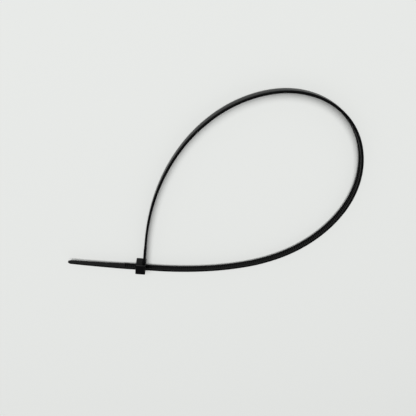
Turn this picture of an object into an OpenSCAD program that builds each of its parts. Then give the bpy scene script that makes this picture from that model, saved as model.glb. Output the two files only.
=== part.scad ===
// Nylon cable tie, closed into a loop and lying on its side.
// It is one moulding: a toothed strap, and a head with a slot and a pawl that holds the teeth.
// X runs along the head's slot, Y along the neck and Z across the strap's width.
// The side of the head rests on Z = 0, with its middle at the origin.

/* [Strap] */
// Length of the strap from the head to its tip, laid straight
strap_length = 370; // [320:5:420]
// Width of the strap
strap_w = 3.6; // [3.2:0.1:4]
// Thickness of the strap
strap_t = 1.2; // [1.1:0.05:1.5]

/* [Teeth] */
// Distance from one tooth to the next
tooth_pitch = 1.1; // [0.9:0.05:1.3]
// Height of a tooth
tooth_h = 0.45; // [0.3:0.05:0.55]
// Length of the flat on top of a tooth
tooth_land = 0.15; // [0.1:0.05:0.3]
// Height of the side rails above the teeth
rail_rise = 0.1; // [0.05:0.05:0.2]
// Width of each side rail
rail_w = 0.6; // [0.4:0.05:0.8]

/* [Neck] */
// Length of the smooth neck between the head and the teeth
neck_l = 11; // [8:0.5:12]
// Distance from the head's entry face back to the neck
neck_set = 0.3; // [0.2:0.05:0.6]
// Thickness of the neck
neck_t = 1.35; // [1.3:0.05:1.8]
// Length of the step from the neck down to the strap
neck_step = 1; // [0.5:0.1:2]
// Height of the web that stiffens the foot of the neck
web_h = 1.6; // [1:0.1:3]
// Thickness of that web at the head
web_t = 0.4; // [0.3:0.1:1]

/* [Head] */
// Size of the head across the strap
head_w = 6.2; // [5.8:0.1:7]
// Size of the head along the neck
head_l = 6.8; // [6.4:0.1:7.4]
// Size of the head along its slot
head_t = 5.4; // [5:0.1:5.8]
// Rounding of the head's edges
head_r = 0.5; // [0.3:0.1:0.8]
// Wall of the head under the strap
head_wall = 2.2; // [1.6:0.1:2.4]
// Clearance between the strap and the slot, on each side
slot_gap = 0.1; // [0.08:0.02:0.16]
// Bevel that leads the strap into the slot
lead_in = 0.3; // [0.2:0.05:0.4]

/* [Pawl] */
// Height of the space above the strap that the pawl moves in
pawl_room = 1.3; // [1.2:0.05:1.5]
// Distance from the head's entry face to the pawl's hinge
hinge_in = 1.2; // [1:0.05:1.3]
// Distance from the head's exit face to the tip of the pawl
tip_in = 0.8; // [0.6:0.05:1]
// Thickness of the pawl's hinge
hinge_t = 0.5; // [0.4:0.05:0.6]
// Gap between the pawl's back and the head
back_gap = 0.35; // [0.3:0.05:0.45]
// Gap between the pawl and the strap's teeth and rails
pawl_gap = 0.08; // [0.06:0.01:0.1]
// Number of teeth on the pawl
pawl_teeth = 2; // [1, 2]

/* [Tail] */
// Length of strap that stands out beyond the head
tail_out = 36.1; // [34:0.1:45]
// Length over which the tail narrows
taper_l = 30; // [26:1:32]
// Length over which the end of the tail turns up
turn_l = 24; // [12:1:26]
// Height that the tip is turned up by
turn_up = 0.4; // [0:0.05:0.8]
// Width of the tail where its point begins
tip_w = 2.1; // [1.8:0.1:2.4]
// Length of the point
tip_l = 1.2; // [1:0.1:4]
// Width of the rounded end of the point
nose_w = 1.3; // [0.8:0.1:1.5]
// Thickness of the tail at its end
tip_t = 0.9; // [0.8:0.05:1]
// Distance from one grip rib to the next
grip_pitch = 1.5; // [1.2:0.1:2]
// Height of a grip rib
grip_h = 0.15; // [0.1:0.05:0.25]

/* [Hidden] */
$fn = 96;

// Bends of the loop, from the neck round to the slot, each [length, turn in degrees].
// The lengths are scaled together to suit the strap's length.
BENDS = [
    [20, 7.5], [20, 9.5], [20, 12.5], [20, 16.5], [20, 21], [8, 9.5],
    [50, 70], [42, 52], [20, 20], [20, 18.5], [20, 14.5], [20, 8.5], [20, 6.5], [12, 3.5],
];

bend_step = 1.5; // angle between the points that a bend is drawn with
cut = 0.2; // how far a cut runs past the face that it opens
lap = 0.1; // how far one solid runs into the next

slot_h = strap_t + 2 * slot_gap;
slot_w = strap_w + 2 * slot_gap;
channel_w = strap_w - 2 * rail_w;
channel_d = tooth_h + rail_rise;
pawl_w = channel_w - 2 * pawl_gap;
head_top = head_l - head_wall - slot_h / 2;
head_low = -head_wall - slot_h / 2;

// Plan coordinates lie in the plane of the loop: x runs out of the slot towards the loop,
// y runs along the neck, and [0, 0] is the middle of the slot's mouth.
function along(h) = [cos(h), sin(h)];
function right_of(h) = [sin(h), -cos(h)];
function total(list, column) = [for (row = list) row[column]] * [for (row = list) 1];
function radius(bend) = bend[0] / (bend[1] * PI / 180);

// How far a list of bends carries the strap, from heading h
function carried(bends, h, i = 0) =
    i == len(bends) ? [0, 0] :
    radius(bends[i]) * (right_of(h) - right_of(h - bends[i][1]))
        + carried(bends, h - bends[i][1], i + 1);

// The neck leaves the head at heading 90, and the strap comes back through the slot at -180,
// so the straight runs at both ends and the scale of the bends follow from the strap's length.
loop_l = strap_length - head_t - tail_out;
root = [-neck_set - strap_t / 2, head_top];
bent = carried(BENDS, 90);
bent_l = total(BENDS, 0);
bend_scale = (loop_l + root.y - root.x) / (bent_l + bent.x - bent.y);
neck_run = -root.y - bend_scale * bent.y;
entry_run = root.x + bend_scale * bent.x;

// Every run of the strap, each [length, turn]
RUNS = concat(
    [[neck_run, 0]],
    [for (b = BENDS) [b[0] * bend_scale, b[1]]],
    [[entry_run + head_t + tail_out - taper_l, 0]]
);

function run_end(run, p, h) =
    run[1] == 0 ? p + run[0] * along(h) :
    p + radius(run) * (right_of(h) - right_of(h - run[1]));

// The runs in place, each [length, turn, start, heading, distance from the head]
function laid(p = root, h = 90, s = 0, i = 0) =
    i == len(RUNS) ? [] :
    concat(
        [concat(RUNS[i], [p, h, s])],
        laid(run_end(RUNS[i], p, h), h - RUNS[i][1], s + RUNS[i][0], i + 1)
    );
PATH = laid();

// A point of the strap at distance s from the head, and u from its middle towards the teeth
function on_run(run, s, u) =
    let (
        share = (s - run[4]) / run[0],
        h = run[3] - share * run[1],
        part = [share * run[0], share * run[1]]
    )
    (share == 0 ? run[2] : run_end(part, run[2], run[3])) + u * right_of(h);
function on_strap(s, u) =
    let (here = [for (run = PATH) if (s >= run[4] - 1e-6) run])
    on_run(here[len(here) - 1], s, u);

// Points along the whole strap, u from its middle: the bends in small steps of angle
function steps(run) = max(1, ceil(run[1] / bend_step));
function strap_line(u) = [
    for (run = PATH)
    for (i = [0:steps(run) - (run[4] == PATH[len(PATH) - 1][4] ? 0 : 1)])
    on_run(run, run[4] + run[0] * i / steps(run), u)
];
function reversed(list) = [for (i = [len(list) - 1:-1:0]) list[i]];

// The strap is locked with the steep face of one tooth just past the pawl's tip
locked_s = loop_l + head_t - tip_in;
teeth_from = neck_l + neck_step + tooth_pitch;
teeth_to = strap_length - taper_l;
first_tooth = ceil((teeth_from - locked_s) / tooth_pitch);
last_tooth = floor((teeth_to - locked_s) / tooth_pitch) - 1;

inner = strap_t / 2;
crest = inner - rail_rise;
valley = inner - channel_d;

// Outline of the open space above the teeth, along the whole toothed stretch
function tooth_space() =
    let (
        marks = [for (i = [first_tooth:last_tooth]) locked_s + i * tooth_pitch],
        start = marks[0],
        stop = marks[len(marks) - 1] + tooth_pitch,
        teeth = [
            for (s = marks)
            each [on_strap(s, valley), on_strap(s, crest), on_strap(s + tooth_land, crest)]
        ],
        above = [for (s = [stop:-tooth_pitch:start]) on_strap(s, inner + cut)]
    )
    concat(teeth, [on_strap(stop, valley)], above, [on_strap(start - tooth_pitch, inner + cut)]);

// The strap at full thickness and width, with the space above its teeth cut away
module strap() {
    difference() {
        translate([0, 0, -strap_w / 2])
        linear_extrude(height = strap_w)
            polygon(concat(strap_line(inner), reversed(strap_line(-inner))));
        translate([0, 0, -channel_w / 2])
        linear_extrude(height = channel_w)
            polygon(tooth_space());
    }
}

// Smooth neck, a little behind the head's entry face, with a web at its foot
module neck() {
    translate([-neck_set, 0, -strap_w / 2])
    linear_extrude(height = strap_w)
    polygon([
        [0, head_top - head_r],
        [0, head_top + neck_l],
        [-strap_t, head_top + neck_l],
        [-neck_t, head_top + neck_l - neck_step],
        [-neck_t, head_top + web_h],
        [-neck_t - web_t, head_top],
        [-neck_t - web_t, head_top - head_r],
    ]);
}

// How far the tail has turned up, at distance x from where it begins to narrow
function turned_up(x) = turn_up * pow(max(0, x - taper_l + turn_l) / turn_l, 2);

// Height of the tail's top between its ribs: down from the rails, then on a falling line
function tail_top(x) =
    inner - channel_d / 2 - x * (strap_t - tip_t - channel_d / 2) / taper_l + turned_up(x);

// Side view of the tail, with a row of low ribs along its top
function tail_side() =
    let (
        ribs = floor((taper_l - tip_l) / grip_pitch) - 1,
        ribbed = [
            for (i = [1:ribs])
            let (x = i * grip_pitch, rib = x + grip_pitch / 2)
            each [[-x, tail_top(x)], [-rib, tail_top(rib) + grip_h]]
        ],
        plain = [for (x = [(ribs + 1) * grip_pitch, taper_l]) [-x, tail_top(x)]],
        under = [for (x = [taper_l:-grip_pitch:0]) [-x, turned_up(x) - inner]]
    )
    concat([[lap, -inner], [lap, inner], [0, inner]], ribbed, plain, under);

module tail() {
    end_x = -taper_l;
    translate([-head_t - tail_out + taper_l, 0, 0])
    intersection() {
        translate([0, 0, -strap_w / 2])
        linear_extrude(height = strap_w)
            polygon(tail_side());
        rotate([90, 0, 0])
        linear_extrude(height = 2 * strap_t, center = true)
        union() {
            polygon([
                [lap, -strap_w / 2], [lap, strap_w / 2],
                [end_x + tip_l, tip_w / 2], [end_x + nose_w / 2, nose_w / 2],
                [end_x + nose_w / 2, -nose_w / 2], [end_x + tip_l, -tip_w / 2],
            ]);
            translate([end_x + nose_w / 2, 0])
                circle(d = nose_w);
        }
    }
}

module rounded(a, b, r) {
    square([a, b - 2 * r], center = true);
    square([a - 2 * r, b], center = true);
    for (x = [-1, 1], y = [-1, 1])
        translate([x * (a / 2 - r), y * (b / 2 - r)])
            circle(r = r);
}

module head_block() {
    translate([-head_t / 2, (head_top + head_low) / 2, 0])
    intersection() {
        linear_extrude(height = head_w, center = true)
            rounded(head_t, head_l, head_r);
        rotate([90, 0, 0])
        linear_extrude(height = head_l, center = true)
            rounded(head_t, head_w, head_r);
        rotate([90, 0, 90])
        linear_extrude(height = head_t, center = true)
            rounded(head_l, head_w, head_r);
    }
}

// Side view of the slot, with its lead-in, and of the room above it for the pawl
module slot_outline() {
    low = -slot_h / 2;
    high = slot_h / 2;
    polygon([
        [cut, low - lead_in - cut],
        [-lead_in, low],
        [-head_t - cut, low],
        [-head_t - cut, high + pawl_room],
        [-hinge_in, high + pawl_room],
        [-hinge_in, high],
        [-lead_in, high],
        [cut, high + lead_in + cut],
    ]);
}

// Side view of the pawl: hinged near the entry, with its teeth in the strap's teeth
module pawl_outline() {
    tip = tip_in - head_t + pawl_gap;
    foot = [
        for (i = [0:pawl_teeth - 1])
        let (x = tip + i * tooth_pitch)
        each [
            [x, valley + pawl_gap],
            [x + tooth_pitch - tooth_land - pawl_gap, crest + pawl_gap],
            [x + tooth_pitch, crest + pawl_gap],
        ]
    ];
    back = slot_h / 2 + pawl_room - back_gap;
    polygon(concat(
        foot,
        [
            [-hinge_in + lap, back - hinge_t],
            [-hinge_in + lap, back],
            [tip + tooth_pitch / 2, back],
            [tip, back - tooth_h],
        ]
    ));
}

module head() {
    difference() {
        head_block();
        linear_extrude(height = slot_w, center = true)
            slot_outline();
    }
    linear_extrude(height = pawl_w, center = true)
        pawl_outline();
}

module cable_tie() {
    color([0.04, 0.04, 0.045])
    translate([head_t / 2, -(head_top + head_low) / 2, head_w / 2]) {
        strap();
        neck();
        head();
        tail();
    }
}

cable_tie();
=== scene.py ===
"""A black nylon cable tie, closed into a large loop and lying on its side, on a pale table.

Lengths are metres. X runs along the head's slot, Y along the neck and Z across the strap's width,
and the side of the head lies on Z = 0 at the origin.
"""
import math
from collections import namedtuple

import bmesh
import bpy
from mathutils import Matrix, Vector


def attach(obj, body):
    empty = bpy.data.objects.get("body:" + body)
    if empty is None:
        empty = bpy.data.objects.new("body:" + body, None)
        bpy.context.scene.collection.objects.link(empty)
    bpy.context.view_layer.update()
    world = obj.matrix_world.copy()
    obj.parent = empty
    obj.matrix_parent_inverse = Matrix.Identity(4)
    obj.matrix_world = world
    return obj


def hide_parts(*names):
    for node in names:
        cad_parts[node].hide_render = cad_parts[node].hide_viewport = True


bl_info = {
    "name": "Nylon cable tie",
    "version": (1, 0, 0),
    "blender": (4, 5, 0),
    "location": "View3D > Sidebar > Cable tie",
    "description": "Builds a closed cable tie with its toothed strap, ratchet head and table",
    "category": "Object",
}

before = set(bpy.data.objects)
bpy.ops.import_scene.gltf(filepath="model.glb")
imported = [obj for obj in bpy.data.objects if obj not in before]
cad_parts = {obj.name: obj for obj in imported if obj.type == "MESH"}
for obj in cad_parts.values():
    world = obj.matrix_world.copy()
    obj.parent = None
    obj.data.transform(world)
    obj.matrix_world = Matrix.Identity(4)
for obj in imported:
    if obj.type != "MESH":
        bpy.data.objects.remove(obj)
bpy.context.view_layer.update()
NODE = "cable_tie"
BODY = "root"

# Bends of the loop, from the neck round to the slot, each (length, turn in degrees).
# The lengths are scaled together to suit the strap's length.
BENDS = (
    (0.020, 7.5), (0.020, 9.5), (0.020, 12.5), (0.020, 16.5), (0.020, 21), (0.008, 9.5),
    (0.050, 70), (0.042, 52), (0.020, 20), (0.020, 18.5), (0.020, 14.5),
    (0.020, 8.5), (0.020, 6.5), (0.012, 3.5),
)
TOOTH_LEAN = 0.00006  # how far the steep face of a tooth leans along the strap
LAP = 0.0001  # how far one shape runs into the next
CUT = 0.0004  # how far a cutter runs past the face that it opens
NEAR = 1e-6  # heights in the section that differ by less are the same
DOUBLE = 1e-7  # points that lie closer than this become one
ROUND_OFF = 1e-9  # error that adding up the runs may leave

# Where the curved and the sloping ends of the strap are drawn
WEB_SHARES = (0, 0.33, 0.66, 1)  # of the web's height
POINT_SHARES = (0, 0.15, 0.3)  # of the point's length
NOSE_ANGLES = (0, 20, 40, 60, 75, 88)  # round the nose, in degrees

STRAP_STEPS = 4  # steps that round an edge of the strap
HEAD_STEPS = 5  # steps that round an edge of the head
SMOOTH_ANGLE = math.radians(25)  # edges that turn by more stay hard

# Each noise of the nylon is (scale, detail, roughness)
BLOOM_NOISE = (90, 3, 0.55)
GLOSS_NOISE = (400, 4, 0.6)
GRAIN_NOISE = (9000, 2, 0.5)
BLOOM_RANGE = (0.35, 0.75)  # part of the noise over which the bloom comes up
BLOOM_MOST = 0.6  # share of the bloom where it is strongest
GLOSS_RANGE = (-0.05, 0.08)  # change of the roughness over the surface
GRAIN_DEPTH = 0.00003
NYLON_IOR = 1.53
NYLON_SHINE = 0.12
TABLE_ROUGHNESS = 0.9
TABLE_SHINE = 0.1

TABLE_REACH = 2  # from the middle of the table to its edge
LAMP_PLACE = (-0.86, 1.95, 3.97)
LAMP_TARGET = (0.04, 0.05, 0)
LAMP_SIZE = 3.8
CAMERA_PLACE = (0.0074, 0.14305, 0.15687)
CAMERA_RIGHT = (0.9876, 0.1456, 0.0581)
CAMERA_UP = (-0.0892, 0.8268, -0.5553)
SENSOR_WIDTH = 36  # millimetres
CLIP_START = 0.01


def length(name, default, text):
    return bpy.props.FloatProperty(
        name=name, description=text, default=default, min=0, precision=5, unit="LENGTH"
    )


def shade(name, default, text):
    return bpy.props.FloatVectorProperty(
        name=name, description=text, default=default, size=3, min=0, max=1, subtype="COLOR"
    )


def share(name, default, text, top=1.0):
    return bpy.props.FloatProperty(
        name=name, description=text, default=default, min=0, max=top, subtype="FACTOR"
    )


class TieStrapSizes(bpy.types.PropertyGroup):
    strap_length: length("Strap length", 0.370, "From the head to the tip, laid straight")
    strap_w: length("Strap width", 0.0036, "Width of the strap")
    strap_t: length("Strap thickness", 0.0012, "Thickness of the strap at its rails")
    strap_r: length("Edge rounding", 0.00012, "Rounding along the outer edges of the strap")
    tooth_pitch: length("Tooth pitch", 0.0011, "From one tooth to the next")
    tooth_h: length("Tooth height", 0.00045, "Height of a tooth")
    tooth_land: length("Tooth land", 0.00015, "Length of the flat on top of a tooth")
    rail_rise: length("Rail rise", 0.0001, "Height of the rails above the teeth")
    rail_w: length("Rail width", 0.0006, "Width of each side rail")
    neck_l: length("Neck length", 0.011, "Smooth neck between the head and the teeth")
    neck_set: length("Neck setback", 0.0003, "From the head's entry face back to the neck")
    neck_t: length("Neck thickness", 0.00135, "Thickness of the neck")
    neck_step: length("Neck step", 0.001, "Length of the step from the neck to the strap")
    web_h: length("Web height", 0.0016, "Height of the web at the foot of the neck")
    web_t: length("Web thickness", 0.0004, "Thickness of the web at the head")
    tail_out: length("Tail length", 0.0361, "Strap that stands out beyond the head")
    taper_l: length("Taper length", 0.030, "Length over which the tail narrows")
    turn_l: length("Turn length", 0.024, "Length over which the end of the tail turns up")
    turn_up: length("Turn height", 0.0004, "Height that the tip is turned up by")
    tip_w: length("Tip width", 0.0021, "Width of the tail where its point begins")
    tip_l: length("Point length", 0.0012, "Length of the point")
    nose_w: length("Nose width", 0.0013, "Width of the rounded end of the point")
    tip_t: length("Tip thickness", 0.0009, "Thickness of the tail at its end")
    grip_pitch: length("Grip pitch", 0.0015, "From one grip rib to the next")
    grip_h: length("Grip height", 0.00015, "Height of a grip rib")


class TieHeadSizes(bpy.types.PropertyGroup):
    head_w: length("Head width", 0.0062, "Size of the head across the strap")
    head_l: length("Head length", 0.0068, "Size of the head along the neck")
    head_t: length("Head depth", 0.0054, "Size of the head along its slot")
    head_r: length("Head rounding", 0.0005, "Rounding of the head's edges")
    head_wall: length("Head wall", 0.0022, "Wall of the head under the strap")
    slot_gap: length("Slot gap", 0.0001, "Clearance between the strap and the slot")
    lead_in: length("Lead-in", 0.0003, "Bevel at the mouth of the slot")
    pawl_room: length("Pawl room", 0.0013, "Height of the space for the pawl")
    hinge_in: length("Hinge inset", 0.0012, "From the entry face to the pawl's hinge")
    tip_in: length("Pawl tip inset", 0.0008, "From the exit face to the pawl's tip")
    hinge_t: length("Hinge thickness", 0.0005, "Thickness of the pawl's hinge")
    back_gap: length("Pawl back gap", 0.00035, "Gap between the pawl's back and the head")
    pawl_gap: length("Pawl gap", 0.00008, "Gap between the pawl and the strap")
    pawl_teeth: bpy.props.IntProperty(
        name="Pawl teeth", description="Number of teeth on the pawl", default=2, min=1
    )


class TieNylonLook(bpy.types.PropertyGroup):
    colour: shade("Nylon", (0.0009, 0.0009, 0.0011), "Colour of the moulded nylon")
    bloom: shade("Bloom", (0.0024, 0.0024, 0.0029), "Paler cast of worn or drawn nylon")
    gloss: share("Roughness", 0.34, "Roughness of the moulded surface")
    grain: share("Grain", 0.12, "Strength of the mould's fine texture")


class TieStageLook(bpy.types.PropertyGroup):
    table: shade("Table", (0.815, 0.83, 0.813), "Colour of the table")
    room: shade("Room", (1.0, 1.0, 1.0), "Colour of the light around")
    room_light: share("Room light", 0.2, "Strength of the light around", top=5.0)
    key_light: bpy.props.FloatProperty(
        name="Lamp", description="Power of the soft lamp overhead", default=205.0, min=0,
        unit="POWER",
    )
    lens: bpy.props.FloatProperty(
        name="Lens", description="Focal length of the camera in millimetres", default=32.02, min=1,
        unit="CAMERA",
    )


# Path of the strap in the plane of the loop


# A straight or bent run: its length and its turn, then the place, turn and distance at its start
Run = namedtuple("Run", "size bend place turned gone")


def heading(turned):
    """The direction of travel after a turn to the right, from the neck's own direction."""
    return Vector((math.sin(turned), math.cos(turned)))


def side(turned):
    """The direction of the teeth, on the inside of the loop."""
    return Vector((math.cos(turned), -math.sin(turned)))


def slot_height(strap, head):
    return strap.strap_t + 2 * head.slot_gap


class Path:
    """The strap's middle line: straight, bend after bend, and straight through the slot."""

    def __init__(self, strap, head):
        slot_h = slot_height(strap, head)
        head_top = head.head_l - head.head_wall - slot_h / 2
        head_low = -head.head_wall - slot_h / 2
        root = Vector((-strap.neck_set - strap.strap_t / 2, head_top))
        self.shift = Vector((head.head_t / 2, -(head_top + head_low) / 2))
        self.loop_l = strap.strap_length - head.head_t - strap.tail_out

        # How far the bends carry the strap gives their scale, and the straight runs at both ends
        bent, bent_l = Vector((0, 0)), 0
        turned = 0
        for size, turn in BENDS:
            bend = math.radians(turn)
            bent += size / bend * (side(turned) - side(turned + bend))
            turned += bend
            bent_l += size
        scale = (self.loop_l + root.y - root.x) / (bent_l + bent.x - bent.y)
        neck_run = -root.y - scale * bent.y
        entry_run = root.x + scale * bent.x

        straight_and_bent = [(neck_run, 0)]
        straight_and_bent += [(size * scale, math.radians(turn)) for size, turn in BENDS]
        straight_and_bent.append((entry_run + head.head_t + strap.tail_out, 0))
        self.runs = []
        place, turned, gone = root, 0, 0
        for size, bend in straight_and_bent:
            self.runs.append(Run(size, bend, place, turned, gone))
            place = self.along(self.runs[-1], size)
            turned += bend
            gone += size

    def along(self, run, inside):
        """The point that lies so far inside a run."""
        if run.bend == 0:
            return run.place + inside * heading(run.turned)
        part = run.bend * inside / run.size
        return run.place + run.size / run.bend * (side(run.turned) - side(run.turned + part))

    def at(self, gone, out):
        """The point so far from the head and so far out of the middle, towards the teeth."""
        run = [r for r in self.runs if r.gone <= max(gone, 0) + ROUND_OFF][-1]
        inside = gone - run.gone
        turned = run.turned + run.bend * max(inside, 0) / run.size
        return self.along(run, inside) + out * side(turned) + self.shift


# Shared mesh work


def shade_by_angle(mesh):
    """Shades a mesh smooth up to its hard edges."""
    mesh.shade_smooth()
    mesh.set_sharp_from_angle(angle=SMOOTH_ANGLE)


def new_piece(name, bm, material):
    """Makes the finished object from the bmesh."""
    bmesh.ops.remove_doubles(bm, verts=bm.verts, dist=DOUBLE)
    bmesh.ops.recalc_face_normals(bm, faces=bm.faces)
    mesh = bpy.data.meshes.new(name)
    bm.to_mesh(mesh)
    bm.free()
    shade_by_angle(mesh)
    mesh.materials.append(material)
    piece = bpy.data.objects.new(name, mesh)
    bpy.context.scene.collection.objects.link(piece)
    return piece


def fit_to_frame(piece):
    """Seats a finished piece on the part."""
    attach(piece, BODY)
    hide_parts(NODE)


def cut_away(piece, cutter):
    """Cuts the cutter out of the piece and deletes it."""
    cut = piece.modifiers.new("cut", "BOOLEAN")
    cut.operation = "DIFFERENCE"
    cut.solver = "EXACT"
    cut.object = cutter
    seen = bpy.context.evaluated_depsgraph_get()
    mesh = bpy.data.meshes.new_from_object(piece.evaluated_get(seen))
    piece.modifiers.clear()
    old = piece.data
    piece.data = mesh
    mesh.name = piece.name
    bpy.data.meshes.remove(old)
    bpy.data.objects.remove(cutter)
    if not mesh.polygons:
        raise RuntimeError("the cut left nothing of " + piece.name)
    shade_by_angle(mesh)


def round_off(bm, geom, size, steps, affect):
    """Rounds corners of a flat outline, or edges of a block."""
    bmesh.ops.bevel(
        bm, geom=geom, offset=size, segments=steps, profile=0.5, affect=affect, material=-1
    )


def side_view_prism(outline, width, middle):
    """Extrudes an outline in the plane of the loop to a width across the strap."""
    bm = bmesh.new()
    face = bm.faces.new([bm.verts.new((x, y, -width / 2)) for x, y in outline])
    grown = bmesh.ops.extrude_face_region(bm, geom=[face])
    top = [v for v in grown["geom"] if isinstance(v, bmesh.types.BMVert)]
    bmesh.ops.translate(bm, verts=top, vec=(0, 0, width))
    bmesh.ops.translate(bm, verts=bm.verts, vec=middle)
    return bm


# The strap


class Section:
    """The strap's section along its length, with heights from the middle of its thickness."""

    def __init__(self, strap, head, path):
        self.sizes = strap
        self.half = strap.strap_t / 2
        self.wide = strap.strap_w / 2
        self.channel = self.wide - strap.rail_w
        self.crest = self.half - strap.rail_rise
        self.valley = self.crest - strap.tooth_h
        self.root_in = -head.head_r
        self.taper_from = strap.strap_length - strap.taper_l
        # The strap is locked with the steep face of one tooth just past the pawl's tip
        locked = path.loop_l + head.head_t - head.tip_in
        teeth_from = strap.neck_l + strap.neck_step + strap.tooth_pitch
        first = math.ceil((teeth_from - locked) / strap.tooth_pitch)
        last = math.floor((self.taper_from - locked) / strap.tooth_pitch) - 1
        self.marks = [locked + i * strap.tooth_pitch for i in range(first, last + 1)]

    def outer(self, gone):
        """Height of the outer face, which the neck and its web stand below."""
        s = self.sizes
        deep = s.strap_t
        if gone <= 0:
            deep = s.neck_t + s.web_t
        elif gone < s.web_h:
            deep = s.neck_t + s.web_t * (1 - gone / s.web_h)
        elif gone < s.neck_l - s.neck_step:
            deep = s.neck_t
        elif gone < s.neck_l:
            deep = s.strap_t + (s.neck_t - s.strap_t) * (s.neck_l - gone) / s.neck_step
        return self.half - deep

    def width(self, gone):
        """Share of the full width, which narrows along the tail to a rounded nose."""
        s = self.sizes
        left = s.strap_length - gone
        nose = s.nose_w / 2
        if left > s.taper_l:
            return 1
        if left > s.tip_l:
            wide = s.tip_w + (s.strap_w - s.tip_w) * (left - s.tip_l) / (s.taper_l - s.tip_l)
        elif left > nose:
            wide = s.nose_w + (s.tip_w - s.nose_w) * (left - nose) / (s.tip_l - nose)
        else:
            wide = 2 * math.sqrt(s.nose_w * left - left * left)
        return wide / s.strap_w

    def turned_up(self, gone):
        """How far the tail has turned up."""
        s = self.sizes
        turned = max(gone - s.strap_length + s.turn_l, 0) / s.turn_l
        return s.turn_up * turned ** 2

    def tail_top(self, gone):
        """Height of the tail's top between its ribs, before it is turned up."""
        s = self.sizes
        start = self.half - (s.tooth_h + s.rail_rise) / 2
        return start + (s.tip_t - self.half - start) * (gone - self.taper_from) / s.taper_l

    def neck_stations(self):
        """The smooth neck with its web, from inside the head to the first tooth."""
        s = self.sizes
        smooth = [self.root_in]
        smooth += [s.web_h * part for part in WEB_SHARES]
        smooth += [s.neck_l - s.neck_step, s.neck_l - s.neck_step / 2, s.neck_l]
        smooth.append(self.marks[0] - s.tooth_pitch)
        return [(gone, self.half, self.half) for gone in smooth]

    def tooth_stations(self):
        """The foot and the flat of each tooth, and the end of the channel."""
        s, top = self.sizes, self.half
        places = []
        for gone in self.marks:
            leant = gone + TOOTH_LEAN
            places.append((gone, self.valley, top))
            places.append((leant, self.crest, top))
            places.append((leant + s.tooth_land, self.crest, top))
        stop = self.marks[-1] + s.tooth_pitch
        places.append((stop, self.valley, top))
        places.append((stop + TOOTH_LEAN, top, top))
        return places

    def tail_stations(self):
        """The tail with its grip ribs, its point and its rounded nose."""
        s = self.sizes
        places = [(self.taper_from + LAP, self.half, self.half)]
        bare = s.taper_l - s.tip_l
        ribs = math.floor(bare / s.grip_pitch)
        tail = [self.taper_from + i * s.grip_pitch for i in range(1, ribs + 1)]
        for gone in tail[:-1]:
            rib = gone + s.grip_pitch / 2
            height = self.tail_top(rib) + s.grip_h
            places.append((rib, height, height))
        tail += [self.taper_from + bare + part * s.tip_l for part in POINT_SHARES]
        for angle in NOSE_ANGLES:
            left = s.nose_w / 2 * (1 - math.sin(math.radians(angle)))
            tail.append(s.strap_length - left)
        for gone in tail:
            height = self.tail_top(gone)
            places.append((gone, height, height))
        return places

    def stations(self):
        """Every place where the section changes: (distance, floor's height, rails' height)."""
        return sorted(self.neck_stations() + self.tooth_stations() + self.tail_stations())


def draw_section(bm, section):
    """Draws the section on X, with its thickness along Y and its width along Z."""
    half, wide, channel = section.half, section.wide, section.channel
    outline = [
        (-half, -wide), (-half, wide), (half, wide), (half, channel),
        (section.valley, channel), (section.valley, -channel), (half, -channel), (half, -wide),
    ]
    corners = [bm.verts.new((0, y, z)) for y, z in outline]
    bm.faces.new(corners)
    round_off(bm, corners[:2], section.sizes.strap_r, STRAP_STEPS, "VERTICES")
    rails = [v for v in bm.verts if v.co.y > half - NEAR]
    round_off(bm, rails, section.sizes.rail_rise, STRAP_STEPS, "VERTICES")


def draw_out(bm, section):
    """Extrudes the section along X from station to station, and closes the far end."""
    # Extruding changes the order of the ring, so each point carries its number in the section
    number = bm.verts.layers.int.new("number")
    shape = []
    for i, vert in enumerate(bm.verts):
        vert[number] = i
        shape.append((vert.co.y, vert.co.z))
    inner_rail = section.channel + section.sizes.rail_rise
    ring, edges = bm.verts[:], bm.edges[:]
    for step, (gone, floor, rail) in enumerate(section.stations()):
        if step:
            grown = bmesh.ops.extrude_edge_only(bm, edges=edges)["geom"]
            edges = [e for e in grown if isinstance(e, bmesh.types.BMEdge)]
            ring = [v for v in grown if isinstance(v, bmesh.types.BMVert)]
        narrow, low = section.width(gone), section.outer(gone)
        raised = section.turned_up(gone)
        for vert in ring:
            y, z = shape[vert[number]]
            if y > section.valley + NEAR:
                y += rail - section.half
                if abs(z) < inner_rail + NEAR:
                    y = max(y, floor)
            elif y > section.valley - NEAR:
                y = floor
            else:
                y += low + section.half
            vert.co = (gone, y + raised, z * narrow)
    ends = [e for e in bm.edges if e.is_boundary]
    bmesh.ops.holes_fill(bm, edges=ends)


class OBJECT_OT_tie_strap(bpy.types.Operator):
    """Builds the neck, the toothed strap and the tapered tail"""

    bl_idname = "object.tie_strap"
    bl_label = "Build strap"

    def execute(self, context):
        strap, head = context.scene.tie_strap, context.scene.tie_head
        path = Path(strap, head)
        section = Section(strap, head, path)
        bm = bmesh.new()
        draw_section(bm, section)
        draw_out(bm, section)
        for vert in bm.verts:
            x, y = path.at(vert.co.x, vert.co.y)
            vert.co = (x, y, vert.co.z + head.head_w / 2)
        fit_to_frame(new_piece("tie_strap", bm, nylon()))
        return {"FINISHED"}


# The head and its pawl, seen from the side, from the middle of the slot's mouth


def slot_outline(strap, head):
    """The slot with its lead-in, and the room above it for the pawl."""
    high = slot_height(strap, head) / 2
    room = high + head.pawl_room
    return [
        (CUT, -high - head.lead_in - CUT), (-head.lead_in, -high), (-head.head_t - CUT, -high),
        (-head.head_t - CUT, room), (-head.hinge_in, room), (-head.hinge_in, high),
        (-head.lead_in, high), (CUT, high + head.lead_in + CUT),
    ]


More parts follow.
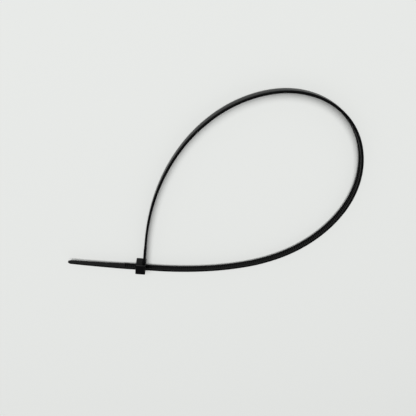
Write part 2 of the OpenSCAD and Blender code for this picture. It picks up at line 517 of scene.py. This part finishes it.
def pawl_outline(strap, head):
    """The pawl: hinged near the entry, with its teeth in the strap's teeth."""
    tip = head.tip_in - head.head_t + head.pawl_gap
    crest = strap.strap_t / 2 - strap.rail_rise
    valley = crest - strap.tooth_h
    outline = []
    for i in range(head.pawl_teeth):
        x = tip + i * strap.tooth_pitch
        outline += [
            (x, valley + head.pawl_gap),
            (x + strap.tooth_pitch - strap.tooth_land - head.pawl_gap, crest + head.pawl_gap),
            (x + strap.tooth_pitch, crest + head.pawl_gap),
        ]
    back = slot_height(strap, head) / 2 + head.pawl_room - head.back_gap
    hinge = -head.hinge_in + LAP
    return outline + [
        (hinge, back - head.hinge_t), (hinge, back),
        (tip + strap.tooth_pitch / 2, back), (tip, back - strap.tooth_h),
    ]


class OBJECT_OT_tie_head(bpy.types.Operator):
    """Builds the head with its slot, and the pawl inside it"""

    bl_idname = "object.tie_head"
    bl_label = "Build head"

    def execute(self, context):
        strap, head = context.scene.tie_strap, context.scene.tie_head
        middle = Vector((*Path(strap, head).shift, head.head_w / 2))
        bm = bmesh.new()
        bmesh.ops.create_cube(bm, size=1)
        bmesh.ops.scale(bm, verts=bm.verts, vec=(head.head_t, head.head_l, head.head_w))
        bmesh.ops.translate(bm, verts=bm.verts, vec=(0, 0, head.head_w / 2))
        round_off(bm, bm.edges[:], head.head_r, HEAD_STEPS, "EDGES")
        block = new_piece("tie_head", bm, nylon())

        slot_w = strap.strap_w + 2 * head.slot_gap
        bm = side_view_prism(slot_outline(strap, head), slot_w, middle)
        cut_away(block, new_piece("slot_cutter", bm, nylon()))

        pawl_w = strap.strap_w - 2 * strap.rail_w - 2 * head.pawl_gap
        bm = side_view_prism(pawl_outline(strap, head), pawl_w, middle)
        pawl = new_piece("tie_pawl", bm, nylon())
        for piece in (block, pawl):
            fit_to_frame(piece)
        return {"FINISHED"}


# Materials


def link(tree, source, output, target, socket):
    tree.links.new(source.outputs[output], target.inputs[socket])


def nylon():
    """Satin black moulded nylon: fine mould texture, slow changes of gloss, a faint pale bloom."""
    name = "black nylon"
    if name in bpy.data.materials:
        return bpy.data.materials[name]
    look = bpy.context.scene.tie_nylon
    material = bpy.data.materials.new(name)
    material.use_nodes = True
    tree = material.node_tree
    shader = tree.nodes["Principled BSDF"]
    shader.inputs["IOR"].default_value = NYLON_IOR
    shader.inputs["Specular IOR Level"].default_value = NYLON_SHINE
    place = tree.nodes.new("ShaderNodeTexCoord")

    def noise(scale, detail, roughness):
        node = tree.nodes.new("ShaderNodeTexNoise")
        node.inputs["Scale"].default_value = scale
        node.inputs["Detail"].default_value = detail
        node.inputs["Roughness"].default_value = roughness
        link(tree, place, "Object", node, "Vector")
        return node

    cloud = tree.nodes.new("ShaderNodeMix")
    cloud.data_type = "RGBA"
    colours = [socket for socket in cloud.inputs if socket.type == "RGBA"]
    colours[0].default_value = (*look.colour, 1)
    colours[1].default_value = (*look.bloom, 1)
    faint = tree.nodes.new("ShaderNodeMapRange")
    faint.inputs["From Min"].default_value = BLOOM_RANGE[0]
    faint.inputs["From Max"].default_value = BLOOM_RANGE[1]
    faint.inputs["To Max"].default_value = BLOOM_MOST
    link(tree, noise(*BLOOM_NOISE), "Fac", faint, "Value")
    link(tree, faint, "Result", cloud, "Factor")
    mixed = [socket for socket in cloud.outputs if socket.type == "RGBA"][0]
    tree.links.new(mixed, shader.inputs["Base Color"])

    gloss = tree.nodes.new("ShaderNodeMapRange")
    gloss.inputs["To Min"].default_value = look.gloss + GLOSS_RANGE[0]
    gloss.inputs["To Max"].default_value = look.gloss + GLOSS_RANGE[1]
    link(tree, noise(*GLOSS_NOISE), "Fac", gloss, "Value")
    link(tree, gloss, "Result", shader, "Roughness")

    bump = tree.nodes.new("ShaderNodeBump")
    bump.inputs["Strength"].default_value = look.grain
    bump.inputs["Distance"].default_value = GRAIN_DEPTH
    link(tree, noise(*GRAIN_NOISE), "Fac", bump, "Height")
    link(tree, bump, "Normal", shader, "Normal")
    return material


def table_top():
    """A plain pale table."""
    look = bpy.context.scene.tie_stage
    material = bpy.data.materials.new("pale table")
    material.use_nodes = True
    shader = material.node_tree.nodes["Principled BSDF"]
    shader.inputs["Base Color"].default_value = (*look.table, 1)
    shader.inputs["Roughness"].default_value = TABLE_ROUGHNESS
    shader.inputs["Specular IOR Level"].default_value = TABLE_SHINE
    return material


# The stage


def light_room(scene):
    """Fills the room with a weak, even light."""
    look = scene.tie_stage
    world = bpy.data.worlds.new("room")
    scene.world = world
    world.use_nodes = True
    sky = world.node_tree.nodes["Background"]
    sky.inputs["Color"].default_value = (*look.room, 1)
    sky.inputs["Strength"].default_value = look.room_light


def hang_lamp(name, place, target, size, power):
    """Hangs a round soft lamp at a place, facing the target."""
    lamp = bpy.data.lights.new(name, "AREA")
    lamp.shape = "DISK"
    lamp.size = size
    lamp.energy = power
    lamp_obj = bpy.data.objects.new(name, lamp)
    bpy.context.scene.collection.objects.link(lamp_obj)
    place = Vector(place)
    turn = (place - Vector(target)).to_track_quat("Z", "Y").to_matrix().to_4x4()
    lamp_obj.matrix_world = Matrix.Translation(place) @ turn


def hold_camera(name, lens, place, right, up):
    """Holds a camera at a place, with its picture's own right and up."""
    camera = bpy.data.cameras.new(name)
    camera.lens = lens
    camera.sensor_width = SENSOR_WIDTH
    camera.clip_start = CLIP_START
    camera_obj = bpy.data.objects.new(name, camera)
    bpy.context.scene.collection.objects.link(camera_obj)
    right = Vector(right).normalized()
    back = right.cross(Vector(up)).normalized()
    turn = Matrix((right, back.cross(right), back)).transposed().to_4x4()
    camera_obj.matrix_world = Matrix.Translation(place) @ turn
    return camera_obj


class OBJECT_OT_tie_stage(bpy.types.Operator):
    """Sets the table, the soft light and the camera"""

    bl_idname = "object.tie_stage"
    bl_label = "Build stage"

    def execute(self, context):
        scene = context.scene
        look = scene.tie_stage
        bm = bmesh.new()
        bmesh.ops.create_grid(bm, x_segments=1, y_segments=1, size=TABLE_REACH)
        table = new_piece("table", bm, table_top())
        light_room(scene)
        hang_lamp("soft lamp", LAMP_PLACE, LAMP_TARGET, LAMP_SIZE, look.key_light)
        scene.camera = hold_camera("camera", look.lens, CAMERA_PLACE, CAMERA_RIGHT, CAMERA_UP)
        scene.view_settings.view_transform = "Standard"
        return {"FINISHED"}


class VIEW3D_PT_tie(bpy.types.Panel):
    """Lists the operators, and the sizes and looks that they read"""

    bl_label = "Cable tie"
    bl_space_type = "VIEW_3D"
    bl_region_type = "UI"
    bl_category = "Cable tie"

    def draw(self, context):
        for operator in OPERATORS:
            self.layout.operator(operator.bl_idname)
        for name, cls in GROUPS.items():
            column = self.layout.box().column()
            for key in cls.__annotations__:
                column.prop(getattr(context.scene, name), key)


GROUPS = {
    "tie_strap": TieStrapSizes,
    "tie_head": TieHeadSizes,
    "tie_nylon": TieNylonLook,
    "tie_stage": TieStageLook,
}
OPERATORS = (OBJECT_OT_tie_stage, OBJECT_OT_tie_strap, OBJECT_OT_tie_head)


def register():
    for cls in (*GROUPS.values(), *OPERATORS, VIEW3D_PT_tie):
        bpy.utils.register_class(cls)
    for name, cls in GROUPS.items():
        setattr(bpy.types.Scene, name, bpy.props.PointerProperty(type=cls))


def unregister():
    for name in GROUPS:
        delattr(bpy.types.Scene, name)
    for cls in (VIEW3D_PT_tie, *reversed(OPERATORS), *GROUPS.values()):
        bpy.utils.unregister_class(cls)


def main():
    register()
    bpy.ops.object.tie_stage()
    bpy.ops.object.tie_strap()
    bpy.ops.object.tie_head()


if __name__ == "__main__":
    main()
